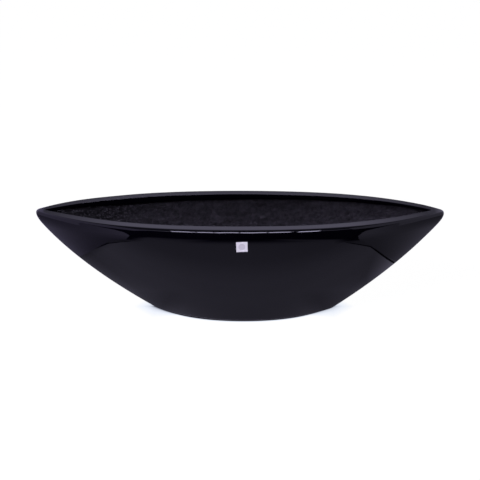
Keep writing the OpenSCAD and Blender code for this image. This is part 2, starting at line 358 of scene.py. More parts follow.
hull_rings = partial(lens_rings, side_steps=176, tip_steps=22)
foot_rise, foot_inset = edge_arc(sole_edge_radius, foot_steps)
foot_z = sole_z + foot_rise
wall_z = np.append(np.linspace(foot_z[-1], seam_z, wall_rows)[1:-1], [seam_z - support_gap, seam_z])
lap_z = np.linspace(seam_z, lap_top_z, lap_rows)
floor_z = sole_z + shell_sole
inner_z = np.linspace(seam_z - bond_gap - 2 * lap_inset, floor_z, inner_rows)
shell_sections = [
    (grown(hull_outline(foot_z), -foot_inset), foot_z),
    (hull_outline(wall_z), wall_z),
    (hull_inside(lap_z, lap_inset), lap_z),
    (hull_inside(lap_z[::-1], lap_inset + shell_wall), lap_z[::-1]),
    (hull_inside(inner_z, shell_wall), inner_z),
]
shell_rings = hand_made(np.concatenate([hull_rings(outline, z) for outline, z in shell_sections]))
seam_row = len(foot_z) + len(wall_z) - 1
shell = ring_skin("gloss_shell", shell_rings, sharp=[seam_row])
lacquer = gloss_lacquer()
dress(shell, lacquer, "gloss_black", "outer_shell")


# Base board
# Plain plywood board bonded to the shell's sole to keep it flat. It stays the solid of the frame, hidden
# between the shell and the trough, and only gets its wood.


def plywood():
    """Rotary-cut birch veneer: long rings stretched along the board, with pale and dark mottling."""
    material, shader, add, place = new_material("plywood")
    along = add("Mapping", {"Vector": place, "Scale": (4.0, 40.0, 40.0)})
    rings = {"Vector": along, "Scale": 1.2, "Distortion": 6.0, "Detail": 3.0}
    grain = add("TexWave", rings, bands_direction="Y").outputs["Fac"]
    wood = mottled(add, place, 30.0, ((0.42, 0.29, 0.17), (0.58, 0.43, 0.27)), (0.6, 0.8))
    streak = add_math(add, "MULTIPLY", grain, 0.5)
    feed(shader, {
        "Base Color": add_blend(add, streak, wood["Color"], (0.36, 0.24, 0.13, 1)),
        "Roughness": wood["Roughness"],
        "Normal": add("Bump", {"Height": grain, "Strength": 0.6, "Distance": 0.0002}),
    })
    return material


def paint_node(node, material):
    """Gives a solid of the frame a material in place of its plain one."""
    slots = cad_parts[node].data.materials
    slots.clear()
    slots.append(material)


paint_node("base_board", plywood())


# Inner trough
# Rough watertight lining, laid up by hand from chopped strand mat and black resin over a plug and left
# unpolished, so the strands show. Its top edge laps behind the lip of the rim.
board_thickness = 0.010
trough_wall = 0.004
trough_floor = 0.004
trough_tip_radius = 0.014
foam_at_floor = 0.006
trough_corner_radius = 0.010
trough_edge_wall = 0.0025
rim_flat = 0.019
rim_flat_tip = 0.021
lip_depth = 0.014
opening_tip_radius = 0.003
# A thin flange of the lining laps over the foam, under the rim
flange_width = 0.008
flange_thickness = 0.0001
# Lumps of the lining: their sizes and heights, and how they end under the rim
lump_sizes = ((0.022, 0.0009), (0.009, 0.0008), (0.0045, 0.0005))
lump_free_top = 0.0008
lump_fade = 0.003
lump_seed = 11
# Rings of the mesh, finest as far below the lip as the lining shows
fine_depth = 0.070
behind_lip_rows = 9
fine_rows = 60
coarse_rows = 38
floor_rows = 22
hidden_rows = 12
corner_steps = 6

lip_z = height - lip_depth
trough_base_z = floor_z + bond_gap + board_thickness + bond_gap
trough_floor_z = trough_base_z + trough_floor
trough_rim_z = height - rim_wall - flange_thickness
flange_z = trough_rim_z - flange_thickness
rim_outline = hull_outline(np.array([height]))
opening = rim_outline.copy()
opening[:, 0] -= rim_flat_tip
opening[:, 1] -= rim_flat
opening[:, 2] = opening_tip_radius
trough_top = grown(opening, lap_inset)[0]
trough_foot_depth = shell_wall + foam_at_floor + trough_wall + 2 * bond_gap
trough_foot = hull_inside(np.array([trough_floor_z]), trough_foot_depth)[0]
trough_long_flare = (lip_z, trough_floor_z, trough_top[0], trough_foot[0], rake_slope)
trough_side_flare = (lip_z, trough_floor_z, trough_top[1], trough_foot[1], 0)


def trough_outline(z):
    """Rows of the lining's outline: flared from its floor up to the rim's lip and upright behind the lip."""
    level = np.minimum(z, lip_z)
    down = np.minimum(fall(z, lip_z, trough_floor_z), 1)
    return np.column_stack([
        flare(level, *trough_long_flare),
        flare(level, *trough_side_flare),
        share(trough_top[2], trough_tip_radius, down),
        share(shoulder_fullness, sole_fullness, down),
    ])


def trough_outside(z):
    """Outline of the lining's hidden face: its wall's thickness outside the inner one, square to the lean."""
    slopes = np.column_stack([flare_slope(z, *trough_long_flare), flare_slope(z, *trough_side_flare)])
    return grown(trough_outline(z), trough_wall, slopes)


def lattice_noise(points, cell, seed):
    """Smooth random heights from -1 to 1: random values on a cubic lattice, blended by a smooth step."""
    side = 64
    table = np.random.default_rng(seed).uniform(-1, 1, (side, side, side))
    place = points / cell
    base = np.floor(place).astype(int)
    part = place - base
    part = part * part * (3 - 2 * part)
    total = np.zeros(points.shape[:-1])
    for corner in np.ndindex(2, 2, 2):
        x, y, z = np.moveaxis((base + corner) % side, -1, 0)
        weight = np.where(corner, part, 1 - part).prod(axis=-1)
        total += table[x, y, z] * weight
    return total


def ring_normals(rings):
    """Outward directions of a ring skin: the step along a ring crossed with the step to the next ring."""
    along = np.roll(rings, -1, axis=1) - np.roll(rings, 1, axis=1)
    across = np.gradient(rings, axis=0)
    normals = np.cross(along, across)
    return normals / np.maximum(np.linalg.norm(normals, axis=-1, keepdims=True), 1e-12)


def lumpy(rings):
    """Lining moved in and out along its normals by three sizes of smooth noise, fading out under the lip."""
    fade = np.clip((trough_rim_z - lump_free_top - rings[..., 2]) / lump_fade, 0, 1)
    lump = sum(
        size * lattice_noise(rings, cell, lump_seed + k) for k, (cell, size) in enumerate(lump_sizes)
    )
    return rings + ring_normals(rings) * (lump * fade)[..., None]


lining_rings = partial(lens_rings, side_steps=300, tip_steps=16)
hidden_z = np.linspace(trough_base_z, lip_z - trough_wall, hidden_rows)
lap_reach = np.array([trough_edge_wall, trough_edge_wall, flange_width, flange_width, 0])
lap_edge = grown(np.array([trough_top] * len(lap_reach)), lap_reach)
lap_edge_z = np.array([lip_z, flange_z, flange_z, trough_rim_z, trough_rim_z])
corner_rise, corner_inset = edge_arc(trough_corner_radius, corner_steps)
corner_z = (trough_floor_z + corner_rise)[::-1]
deep_z = lip_z - fine_depth
inside_z = np.concatenate([
    np.linspace(trough_rim_z, lip_z, behind_lip_rows)[1:],
    np.linspace(lip_z, deep_z, fine_rows)[1:],
    np.linspace(deep_z, corner_z[0], coarse_rows)[1:-1],
])
hidden_rings = np.concatenate([
    lining_rings(trough_outside(hidden_z), hidden_z),
    lining_rings(lap_edge, lap_edge_z),
])
wall_rings = np.concatenate([
    lining_rings(trough_outline(inside_z), inside_z),
    lining_rings(grown(trough_outline(corner_z), -corner_inset[::-1]), corner_z),
])
floor_middle = wall_rings[-1].mean(axis=0)
floor_rings = share(wall_rings[-1], floor_middle, np.linspace(0, 1, floor_rows)[1:-1, None, None])
trough_rings = np.concatenate([hidden_rings, lumpy(np.concatenate([wall_rings, floor_rings]))])
# The mat's own coordinates: the way round the lip, and the way down from ring to ring
ring_loop = np.concatenate([trough_rings, trough_rings[:, :1]], axis=1)
girth = np.linalg.norm(np.diff(ring_loop[len(hidden_rings)], axis=0), axis=-1).cumsum()
round_way = np.broadcast_to(np.append(0, girth), ring_loop.shape[:2])
ring_gaps = np.linalg.norm(np.diff(ring_loop, axis=0, prepend=ring_loop[:1]), axis=-1)
down_way = ring_gaps.mean(axis=1).cumsum()
lay_up = np.stack([round_way, np.broadcast_to(down_way[:, None], round_way.shape)], axis=-1)
trough = ring_skin("rough_trough", trough_rings, uv=lay_up)


def make_strand_group():
    """Shader group for one lay of chopped strands: bent noise, stretched about 10 to 1 along a direction,
    whose middle value marks the threads."""
    group, entry, leave, add = new_group(
        "chopped_strands", {"Vector": "Vector", "Turn": "Float", "Offset": "Float"}, {"Strand": "Float"})
    lay = {"Vector": entry["Vector"], "Angle": entry["Turn"]}
    turned = add("VectorRotate", lay, rotation_type="Z_AXIS")
    stretched = add("VectorMath", {0: turned, 1: (18.0, 190.0, 1.0)}, operation="MULTIPLY")
    threads = add("TexNoise", noise_dimensions="4D")
    feed(threads, {"Vector": stretched, "W": entry["Offset"], "Scale": 1.0, "Detail": 1.0, "Distortion": 0.9})
    away = add_math(add, "ABSOLUTE", add_math(add, "SUBTRACT", threads, 0.5))
    feed(leave, {"Strand": add_range(add, away, (0.10, 0.0, 0.0, 1.0))})
    return group


def strand_lining():
    """Black resin over chopped strands: crossing threads stand a little proud and paler, over mottled resin,
    with painted shade under the lip and towards the left end, and pale specks that are painted glints,
    most common towards the left end."""
    material, shader, add, place = new_material("rough_black_lining")
    laid = add("UVMap", uv_map="lay_up")
    across = add("SeparateXYZ", {"Vector": place}).outputs
    resin = mottled(add, place, 60.0, ((0.0025, 0.0023, 0.0026), (0.0080, 0.0074, 0.0080)), (0.38, 0.70))
    group = make_strand_group()
    lays = [
        add("Group", {"Vector": laid, "Turn": turn, "Offset": 3.7 * k}, node_tree=group)
        for k, turn in enumerate((0.3, 0.95, 1.55, 2.2, 2.8))
    ]
    strands = reduce(partial(add_math, add, "MAXIMUM"), lays)
    threads = add_blend(add, strands, resin["Color"], (0.020, 0.0185, 0.020, 1))
    # Painted shade darkens the resin under the lip and towards the left end, over random blotches of tone
    lower = add_range(add, across["Z"], (0.200, 0.150, 0.40, 1.15))
    inner = add_range(add, across["X"], (-0.29, -0.14, 0.12, 1.0))
    clouds = add("TexNoise", {"Vector": place, "Scale": 150.0, "Detail": 2.0})
    blotch = add_range(add, clouds, (0.32, 0.68, 0.50, 1.50))
    painted_shade_and_blotches = reduce(partial(add_math, add, "MULTIPLY"), (lower, inner, blotch))
    toned = add("VectorMath", {0: threads, "Scale": painted_shade_and_blotches}, operation="SCALE")
    # Painted glints: pale specks, most common towards the left end, stand in for glossy bumps catching light
    ends = add("TexVoronoi", {"Vector": place, "Scale": 190.0})
    glints_leftward = add_range(add, across["X"], (-0.17, -0.25, 0.08, 1.0))
    painted_glints = add_math(add, "MULTIPLY", add_range(add, ends, (0.40, 0.16, 0.0, 1.0)), glints_leftward)
    gritty = add("Bump", {"Height": resin["Height"], "Strength": 1.0, "Distance": 0.0014})
    feed(shader, {
        # The pale colour is that of the painted glints
        "Base Color": add_blend(add, painted_glints, toned, (0.037, 0.035, 0.037, 1)),
        "Roughness": resin["Roughness"],
        "Normal": add("Bump", {"Height": strands, "Normal": gritty, "Strength": 1.0, "Distance": 0.0009}),
        "IOR": 1.45,
        "Specular IOR Level": 0.2,
    })
    return material


dress(trough, strand_lining(), "rough_black", "inner_trough")


# Foam core
# Cream rigid foam, poured between the shell and the trough so that the double wall is light and stiff.
# It stays the solid of the frame, closed in on all sides.


def rigid_foam():
    """Closed-cell foam: rounded cells of about a millimetre, in a mottled cream."""
    material, shader, add, place = new_material("rigid_foam")
    cream = mottled(add, place, 45.0, ((0.66, 0.54, 0.30), (0.78, 0.67, 0.42)), (0.8, 0.95))
    cells = add("TexVoronoi", {"Vector": place, "Scale": 900.0})
    pitted = add("Bump", {"Height": cells, "Strength": 0.8, "Distance": 0.0004})
    feed(shader, {"Base Color": cream["Color"], "Roughness": cream["Roughness"], "Normal": pitted})
    return material


paint_node("foam_core", rigid_foam())


# Rim moulding
# Gloss black moulding of the shell's own resin: a channel with a rolled skirt outside, a flat top and a lip
# that hangs inside. It is bonded over the shell's upstand, and its seam is filled and lacquered over.
lip_edge_radius = 0.001
lip_foot_radius = 0.0008
# The lip's lower edge runs on a slant: it rises to the right, and curls up at the two tips
lip_middle_z = 0.1992
lip_tilt = 0.0107
least_lip_depth = 0.0052
# Each tip's curl: where it starts, how far it runs, its height and its power
left_curl = (0.19, 0.14, 0.0075, 1.5)
right_curl = (0.27, 0.065, 0.004, 2.0)
# The opening was cut by hand: its left tip runs further out than the right one and is slimmer, and the rim is
# left broader along its front towards the right
left_reach = 0.008
left_pinch = 0.22
broad_front = 0.0036
broad_from_x = 0.37
broad_run = 0.27
# Hand sanding leaves the roll a little wavy, in waves longer along the rim than across it
wave_height = 0.0001
wave_size = 0.007
wave_stretch = np.array([0.35, 1, 1])
# Rings of the mesh
roll_rows = 44
flat_rows = 6
lip_rows = 6
under_rows = 9
lip_edge_steps = 8
lip_foot_steps = 4


def hand_cut(rings, weight):
    """Rings with their left tip drawn out and pinched, by a weight times the sixth and fourth power of the
    way, and their front moved in by a hump of the broad front, over the way from its right end."""
    x, y, z = np.moveaxis(rings, -1, 0)
    way = np.clip(-x / opening[0, 0], 0, 1)
    broad = broad_front * weight * hump(np.clip((broad_from_x - x) / broad_run, 0, 1))
    pinched = y * (1 - left_pinch * weight * way ** 4)
    return np.stack([x - left_reach * weight * way ** 6, pinched + np.where(y < 0, broad, 0), z], axis=-1)


def waved(rings):
    """Rolled skirt moved along its normals by smooth noise, fading out at the seam and at the flat top."""
    fade = np.sin(np.pi * (roll_turn - seam_turn) / (np.pi / 2 - seam_turn))[:, None]
    wave = wave_height * fade * lattice_noise(rings * wave_stretch, wave_size, lump_seed)
    return rings + ring_normals(rings) * wave[..., None]


def slant_footed(rings):
    """Lip whose depth is scaled along its length, so that its foot follows a slanted line."""
    x, y, z = np.moveaxis(rings, -1, 0)
    curls = [
        rise * np.clip((np.abs(x) - start) / run, 0, 1) ** power
        for start, run, rise, power in (left_curl, right_curl)
    ]
    slant_z = lip_middle_z + lip_tilt * x + np.where(x < 0, *curls)
    depth = np.maximum(height - slant_z, least_lip_depth)
    return np.stack([x, y, height - (height - z) * depth / lip_depth], axis=-1)


seam_turn = np.arcsin((seam_z - shoulder_z) / roll_depth)
roll_turn = np.linspace(seam_turn, np.pi / 2, roll_rows)
roll_turn = np.insert(roll_turn, 1, np.arcsin((seam_z + support_gap - shoulder_z) / roll_depth))
skirt_z = shoulder_z + roll_depth * np.sin(roll_turn)
edge_drop, edge_inset = edge_arc(lip_edge_radius, lip_edge_steps)
lip_edge = grown(np.repeat(opening, len(edge_drop), axis=0), edge_inset)
flat_share = np.linspace(0, 1, flat_rows)[1:-1, None]
flat_top = share(rim_outline, lip_edge[:1], flat_share)
lip_rise, lip_inset = edge_arc(lip_foot_radius, lip_foot_steps)
lip_foot = grown(np.repeat(opening, len(lip_rise), axis=0), lip_inset[::-1])
lip_foot_z = (lip_z + lip_rise)[::-1]
face_z = np.linspace(height - lip_edge_radius, lip_foot_z[0], lip_rows)[1:-1]
back_z = np.array([lip_z, height - rim_wall])
under_z = np.linspace(height - rim_wall, seam_z, under_rows)
rim_sections = [
    (hull_outline(skirt_z), skirt_z),
    (flat_top, np.full(len(flat_top), height)),
    (lip_edge, height - edge_drop),
    (np.repeat(opening, len(face_z), axis=0), face_z),
    (lip_foot, lip_foot_z),
    (grown(np.repeat(opening, len(back_z), axis=0), rim_wall), back_z),
    (hull_inside(under_z, rim_wall), under_z),
]
skirt, top, edge, face, foot, back, under = (hull_rings(outline, z) for outline, z in rim_sections)
rim_rings = hand_made(np.concatenate([
    waved(skirt),
    hand_cut(top, flat_share),
    hand_cut(edge, 1),
    slant_footed(hand_cut(np.concatenate([face, foot, back[:1]]), 1)),
    hand_cut(back[1:], 1),
    under,
]))
rim = ring_skin("gloss_rim", rim_rings, closed=True, sharp=[0])
dress(rim, lacquer, "gloss_black", "rim_moulding")


# Badge tape
# White foam tape that holds the badge to the hull's proudest line. It stays the solid of the frame, and only
# its thin edge can be seen behind the plate.


def foam_tape():
    """White closed-cell tape: fine cells and a slightly grey mottling."""
    material, shader, add, place = new_material("foam_tape")
    white = mottled(add, place, 500.0, ((0.70, 0.70, 0.69), (0.82, 0.82, 0.81)), (0.7, 0.9))
    rise = add("Bump", {"Height": white["Height"], "Strength": 0.6, "Distance": 0.0001})
    feed(shader, {"Base Color": white["Color"], "Roughness": white["Roughness"], "Normal": rise})
    return material


paint_node("badge_tape", foam_tape())


# Badge plate
# Small blank plate stamped from satin aluminium, with eased edges and a plain round dish pressed into its
# face. It is stuck upright on the front, turned a little, and carries no words.
badge_width = 0.0215
badge_height = 0.020
badge_corner = 0.0008
badge_least_corner = 0.0001
badge_corner_steps = 15
badge_turn = np.radians(2)
badge_bevel = 0.00015
badge_bevel_steps = 4
badge_border = 0.0012
dish_radius = 0.0068
dish_depth = 0.0003
dish_slope = 0.0007
dish_rows = 7
badge_low, badge_high = (np.array(corner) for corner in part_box("badge_plate"))
badge_middle = (badge_low + badge_high) / 2
badge_face_y = badge_low[1]
badge_back_y = badge_high[1]


def on_plate(x, z, y):
    """Rings on the plate at each depth y, turned about its middle. They run anticlockwise from the front."""
    turned_x = x * np.cos(badge_turn) - z * np.sin(badge_turn)
    turned_z = x * np.sin(badge_turn) + z * np.cos(badge_turn)
    rings = np.stack([turned_x, np.broadcast_to(y[:, None], x.shape), turned_z], axis=-1)
    return rings + [badge_middle[0], 0, badge_middle[2]]


def plate_rings(inset, y):
    """Rectangles with round corners, set in from the plate's edge: a quarter circle per corner."""
    turn = np.linspace(0, np.pi / 2, badge_corner_steps + 1)
    angle = (turn[None] + np.arange(4)[:, None] * np.pi / 2).ravel()
    corner_x = np.repeat([1, -1, -1, 1], badge_corner_steps + 1)
    corner_z = np.repeat([1, 1, -1, -1], badge_corner_steps + 1)
    radius = np.maximum(badge_corner - inset, badge_least_corner)[:, None]
    x = corner_x * (badge_width / 2 - inset[:, None] - radius) + radius * np.cos(angle)
    z = corner_z * (badge_height / 2 - inset[:, None] - radius) + radius * np.sin(angle)
    return on_plate(x, z, y)


def dish_rings(radius, y):
    """Circles of each radius about the plate's middle, with as many points as a rectangle has."""
    points = 4 * (badge_corner_steps + 1)
    angle = (np.arange(points) + 0.5) * 2 * np.pi / points
    return on_plate(radius[:, None] * np.cos(angle), radius[:, None] * np.sin(angle), y)


bevel_rise, bevel_inset = edge_arc(badge_bevel, badge_bevel_steps)
plate_inset = np.concatenate([[0, 0], bevel_inset[::-1], [badge_border]])
plate_side_y = [badge_back_y, badge_face_y + badge_bevel + support_gap]
plate_y = np.concatenate([plate_side_y, badge_face_y + bevel_rise[::-1], [badge_face_y]])
# Rings outside and inside the dish's slope, as shares of its run, keep the face and the bottom flat
dish_way = np.linspace(0, 1, dish_rows)
dish_radii = dish_radius - dish_slope * np.concatenate([[-0.1], dish_way, [1.1, 5]])
dish_y = badge_face_y + dish_depth * np.concatenate([[0], (1 - np.cos(np.pi * dish_way)) / 2, [1, 1]])
badge_rings = np.concatenate([plate_rings(plate_inset, plate_y), dish_rings(dish_radii, dish_y)])
badge = ring_skin("badge_face", badge_rings)


def satin_aluminium():
    """Brushed and clear-anodised aluminium: fine level brush lines, with the pressed dish left greyer."""
    material, shader, add, place = new_material("satin_aluminium")
    brushed = add("Mapping", {"Vector": place, "Scale": (120.0, 1.0, 6000.0)})
    lines = add("TexNoise", {"Vector": brushed, "Scale": 1.0, "Detail": 3.0})
    plate = mottled(add, place, 300.0, ((0.88, 0.87, 0.79), (0.94, 0.93, 0.84)), (0.32, 0.45))
    depth = add("SeparateXYZ", {"Vector": place}).outputs["Y"]
    # The dish lies between these shares of its depth, and the plate's sides and back lie behind it
    sunk, front = (
        add_range(add, depth, (badge_face_y + dish_depth * start, badge_face_y + dish_depth * end, 0.0, 1.0))
        for start, end in ((0.3, 0.9), (1.6, 1.3))
    )
    in_dish = add_math(add, "MULTIPLY", sunk, front)
    feed(shader, {
        "Base Color": add_blend(add, in_dish, plate["Color"], (0.70, 0.69, 0.63, 1)),
        "Roughness": plate["Roughness"],
        "Metallic": 0.25,
        "Normal": add("Bump", {"Height": lines, "Strength": 0.5, "Distance": 0.00001}),
    })
    return material


dress(badge, satin_aluminium(), "badge", "badge_plate")


# Foot pads
# Six discs punched from dark pressed felt, stuck under the sole. They carry the vase and keep its lacquer
# off the table, and their punched edges are a little fuzzy.
pad_names = ("front_left", "front_right", "back_left", "back_right", "left_end", "right_end")
pad_edge_radius = 0.0005
pad_edge_steps = 4
pad_fuzz = 0.00012
pad_fuzz_size = 0.0012
pad_points = 72
# Rings on the pad's two flat faces, as shares of its radius
pad_face_rings = np.array([0.35, 0.7])


def pressed_felt():
    """Dark felt: matted fibres of mixed greys, very rough, with a short nap."""
    material, shader, add, place = new_material("pressed_felt")
    fibre = mottled(add, place, 700.0, ((0.018, 0.018, 0.020), (0.055, 0.054, 0.057)), (0.9, 1.0))
    nap = add("Bump", {"Height": fibre["Height"], "Strength": 0.9, "Distance": 0.0003})
    feed(shader, {
        "Base Color": fibre["Color"], "Roughness": fibre["Roughness"], "Normal": nap, "Sheen Weight": 0.2,
    })
    return material


def felt_pad(name, low, high, seed):
    """Disc between two corners of its box: circles out along the bottom, round the edge, up and in along the
    top, with their radius roughened by noise."""
    middle = (low + high) / 2
    radius = (high[0] - low[0]) / 2
    thickness = high[2] - low[2]
    rise, inset = edge_arc(pad_edge_radius, pad_edge_steps)
    half = np.append(radius * pad_face_rings, radius - inset)
    reach = np.append(half, half[::-1])[:, None]
    z = np.concatenate([[0, 0], rise, thickness - rise[::-1], [thickness, thickness]])
    angle = np.linspace(0, 2 * np.pi, pad_points, endpoint=False)
    x, y = reach * np.cos(angle), reach * np.sin(angle)
    rings = np.stack([x, y, np.broadcast_to(z[:, None], x.shape)], axis=-1)
    fuzz = pad_fuzz * (lattice_noise(rings, pad_fuzz_size, seed) - 1)
    rings[..., :2] *= 1 + (fuzz / radius)[..., None]
    return ring_skin(name, rings + [middle[0], middle[1], low[2]])


felt = pressed_felt()
for seed, place in enumerate(pad_names):
    node = "foot_pad_" + place
    pad = felt_pad("felt_pad_" + place, *(np.array(corner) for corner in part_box(node)), seed)
    dress(pad, felt, "felt", node)


# Studio
# A pale table between two white cards with cut corners, a white backdrop and light panes above the camera.
# The room in front of the table is dark, which gives the lacquer its black band under the rim.
light_tint = (0.92, 0.87, 1.20)
left_tint = (0.905, 0.82, 1.31)
room_level = 0.010
fill_level = 0.12
camera_lift = 0.992
floor_colour = 0.8
floor_seen_colour = 0.06
floor_reach = 4.0
table_back_y = 0.80
# The table's dark joints with the side cards: each side's straight part and its cut corner, as the place
# where the line crosses y = 0 and its slope
left_joint = ((-0.3970, -0.062), (-0.4339, -0.282))
right_joint = ((0.3706, -0.030), (0.4164, 0.269))
joint_half_width = 0.0027
joint_front_y = -0.30
joint_level = 0.04
beyond_joint_level = 0.55
# Where the lit floor ends on either side, in front of the cards
lit_left = (-0.44, -0.37)
lit_right = (0.44, 0.37)
lit_front_y = -0.45
lit_left_spread = 0.31
# In front of the cards a dark notch reaches in from both limits: its front, deepest place, back and depth
notch_y = (-0.53, -0.335, -0.25)
notch_depth = 0.07
left_notch_share = 0.5
# The floor is lit further out towards the front left
far_left = (-0.20, -0.30, 0.0, 0.58)
# Floor level that the lacquer mirrors, from the table's front edge to the shade under the hull and behind it
table_levels = (
    (-1.50, 0.04), (-0.90, 0.30), (-0.75, 0.46), (-0.55, 0.68), (-0.32, 0.74), (-0.22, 0.93), (-0.18, 0.97),
    (-0.12, 0.84), (-0.07, 0.55), (-0.02, 0.30), (0.02, 0.23), (0.11, 0.23), (0.18, 0.62), (0.28, 0.80),
    (0.80, 0.55),
)
table_dim_x = 0.35
table_dim_level = 0.80
# The floor beyond the right end of the hull stays lit
table_side = (0.24, 0.37, 0.0, 0.56)
# Colour of the lift from the sole's edge, at 1, outwards: none under the sole, bluish in the contact shadow
contact_shades = (
    (0.99, (0.0, 0.0, 0.0)), (1.04, (0.34, 0.36, 0.43)), (1.08, (0.50, 0.53, 0.61)),
    (1.125, (0.62, 0.66, 0.74)), (1.20, (0.72, 0.76, 0.85)), (1.38, (0.845, 0.885, 0.96)),
    (1.85, (1.0, 1.0, 1.0)),
)
contact_span = 2.0
contact_fullness = 0.33
contact_shift = 0.007
contact_half_length = 0.181
contact_half_width = 0.068
# The shadow is narrow in front of the sole and wide under the raked ends
contact_width = (0.45, 1.0, 0.11, 1.0)
# Under the raked ends the mirrored floor is shaded too
end_shade = (1.0, 2.3, 0.48, 1.0)
end_part = (0.40, 0.80, 0.0, 1.0)


def flat_sheet(name, corners, material):
    """Flat sheet of the studio with the given corners, which isn't part of the vase."""
    mesh = bpy.data.meshes.new(name)
    mesh.from_pydata(corners, [], [tuple(range(len(corners)))])
    mesh.materials.append(material)
    sheet = bpy.data.objects.new(name, mesh)
    bpy.context.scene.collection.objects.link(sheet)
    return sheet


def span_sheet(name, from_x, to_x, low, high, material):
    """Rectangle between two places along X and two edges, each of which is given as y and z."""
    return flat_sheet(name, [(from_x, *low), (to_x, *low), (to_x, *high), (from_x, *high)], material)


def add_ramp(add, value, stops):
    """Adds a ramp over a value, with stops that are pairs of a position from 0 to 1 and a colour."""
    node = add("ValToRGB", {"Fac": value})
    stones = node.color_ramp.elements
    stones[0].position, stones[1].position = stops[0][0], stops[-1][0]
    stones[0].color, stones[1].color = (*stops[0][1], 1), (*stops[-1][1], 1)
    for position, colour in stops[1:-1]:
        stones.new(position).color = (*colour, 1)
    return node


def show(material, surface):
    """Makes a shader what the material shows."""
    feed(material.node_tree.nodes["Material Output"], {"Surface": surface})


def pale_floor():
    """White floor. The camera sees it lifted to white, with the vase's shadow on it. The lacquer mirrors a
    table that is brightest just in front of the vase, falls off to the front and ends in the dark room."""
    material, shader, add, place = new_material("pale_floor")
    calc = partial(add_math, add)
    ranged = partial(add_range, add)
    path = add("LightPath").outputs
    spot = add("SeparateXYZ", {"Vector": place}).outputs
    x, y = spot["X"], spot["Y"]

    # The contact's lens as one number: its half width's share plus its side's law, 1 on the edge
    along = calc("DIVIDE", calc("SUBTRACT", x, contact_shift), contact_half_length)
    square = calc("MULTIPLY", along, along)
    law = calc("MULTIPLY", square, calc("MULTIPLY_ADD", square, contact_fullness, 1 - contact_fullness))
    outward = calc("MULTIPLY_ADD", calc("ABSOLUTE", y), 1 / contact_half_width, law)
    ends = calc("MULTIPLY", calc("SUBTRACT", 1, ranged(outward, end_shade)), ranged(law, end_part))
    outward = calc("ADD", calc("DIVIDE", calc("SUBTRACT", outward, 1), ranged(law, contact_width)), 1)
    contact_stops = [(edge / contact_span, colour) for edge, colour in contact_shades]
    feed(shader, {
        "Base Color": ranged(path["Is Camera Ray"], (0.0, 1.0, floor_colour, floor_seen_colour)),
        "Roughness": 1.0,
        "Specular IOR Level": 0.0,
        "Emission Color": add_ramp(add, calc("DIVIDE", outward, contact_span), contact_stops),
        "Emission Strength": calc("MULTIPLY", path["Is Camera Ray"], camera_lift),
    })

    # The level that is mirrored: it runs along the table and dims to the right, but for the lit far side
    front_y, behind_y = table_levels[0][0], table_levels[-1][0]
    level_stops = [((edge - front_y) / (behind_y - front_y), (value,) * 3) for edge, value in table_levels]
    ahead = calc("MAXIMUM", calc("SUBTRACT", lit_front_y, y), 0)
    nearer = calc("MULTIPLY_ADD", ahead, ranged(x, far_left), y)
    level = add_ramp(add, ranged(nearer, (front_y, behind_y, 0.0, 1.0)), level_stops)
    dim = ranged(x, (0.0, table_dim_x, 1.0, table_dim_level))
    lit = calc("MAXIMUM", calc("MULTIPLY", level, dim), ranged(x, table_side))

    # The joints: how far a place lies inside the nearest of the four lines
    left, left_cut = (calc("SUBTRACT", x, calc("MULTIPLY_ADD", y, turn, cross)) for cross, turn in left_joint)
    right, right_cut = (
        calc("SUBTRACT", calc("MULTIPLY_ADD", y, turn, cross), x) for cross, turn in right_joint
    )
    inward = reduce(partial(calc, "MINIMUM"), (left, left_cut, right, right_cut))
    beyond = calc("MULTIPLY", calc("LESS_THAN", inward, -joint_half_width), beyond_joint_level)
    inside = calc("GREATER_THAN", inward, joint_half_width)
    in_front = calc("LESS_THAN", y, joint_front_y)
    joint = reduce(partial(calc, "MAXIMUM"), (inside, beyond, joint_level, in_front))

    # The limits of the lit floor, with their notches
    notch_in = ranged(y, (*notch_y[:2], 0.0, notch_depth))
    notch = calc("MINIMUM", notch_in, ranged(y, (*notch_y[1:], notch_depth, 0.0)))
    left_x = calc("MULTIPLY_ADD", notch, -left_notch_share, calc("MULTIPLY_ADD", ahead, lit_left_spread, x))
    from_left = ranged(left_x, (*lit_left, 0.0, 1.0))
    from_right = ranged(calc("ADD", x, notch), (*lit_right, 0.0, 1.0))
    on_table = calc("LESS_THAN", y, table_back_y)
    unshaded = calc("SUBTRACT", 1, ends)
    shown = reduce(partial(calc, "MULTIPLY"), (lit, joint, from_left, from_right, on_table, unshaded))
    image = add("Emission", {"Color": (*light_tint, 1), "Strength": calc("MAXIMUM", shown, room_level)})
    mirrored = calc("MAXIMUM", path["Is Glossy Ray"], path["Is Transmission Ray"])
    show(material, add("MixShader", {0: mirrored, 1: shader, 2: image}))
    return material


def lit_card(name, rise, axis="X", fall_off=(0.0, 1.0, 1.0, 1.0), tint=light_tint):
    """Lit white card. rise holds two heights and their levels. fall_off holds two places along an axis and
    the shares of the level there, and counts both ways from the middle along X."""
    material, shader, add, place = new_material(name)
    spot = add("SeparateXYZ", {"Vector": place}).outputs
    away = add_math(add, "ABSOLUTE", spot["X"]) if axis == "X" else spot[axis]
    level = add_math(add, "MULTIPLY", add_range(add, spot["Z"], rise), add_range(add, away, fall_off))
    show(material, add("Emission", {"Color": (*tint, 1), "Strength": level}))
    return material


span_sheet("floor", -floor_reach, floor_reach, (-floor_reach, 0), (floor_reach, 0), pale_floor())

wall_lean = 0.27
wall_back_y = 0.75
wall_top_z = 1.60
low_back_y = 0.10
low_level_z = 0.12
joint_z = 0.20
high_overlap = 0.001
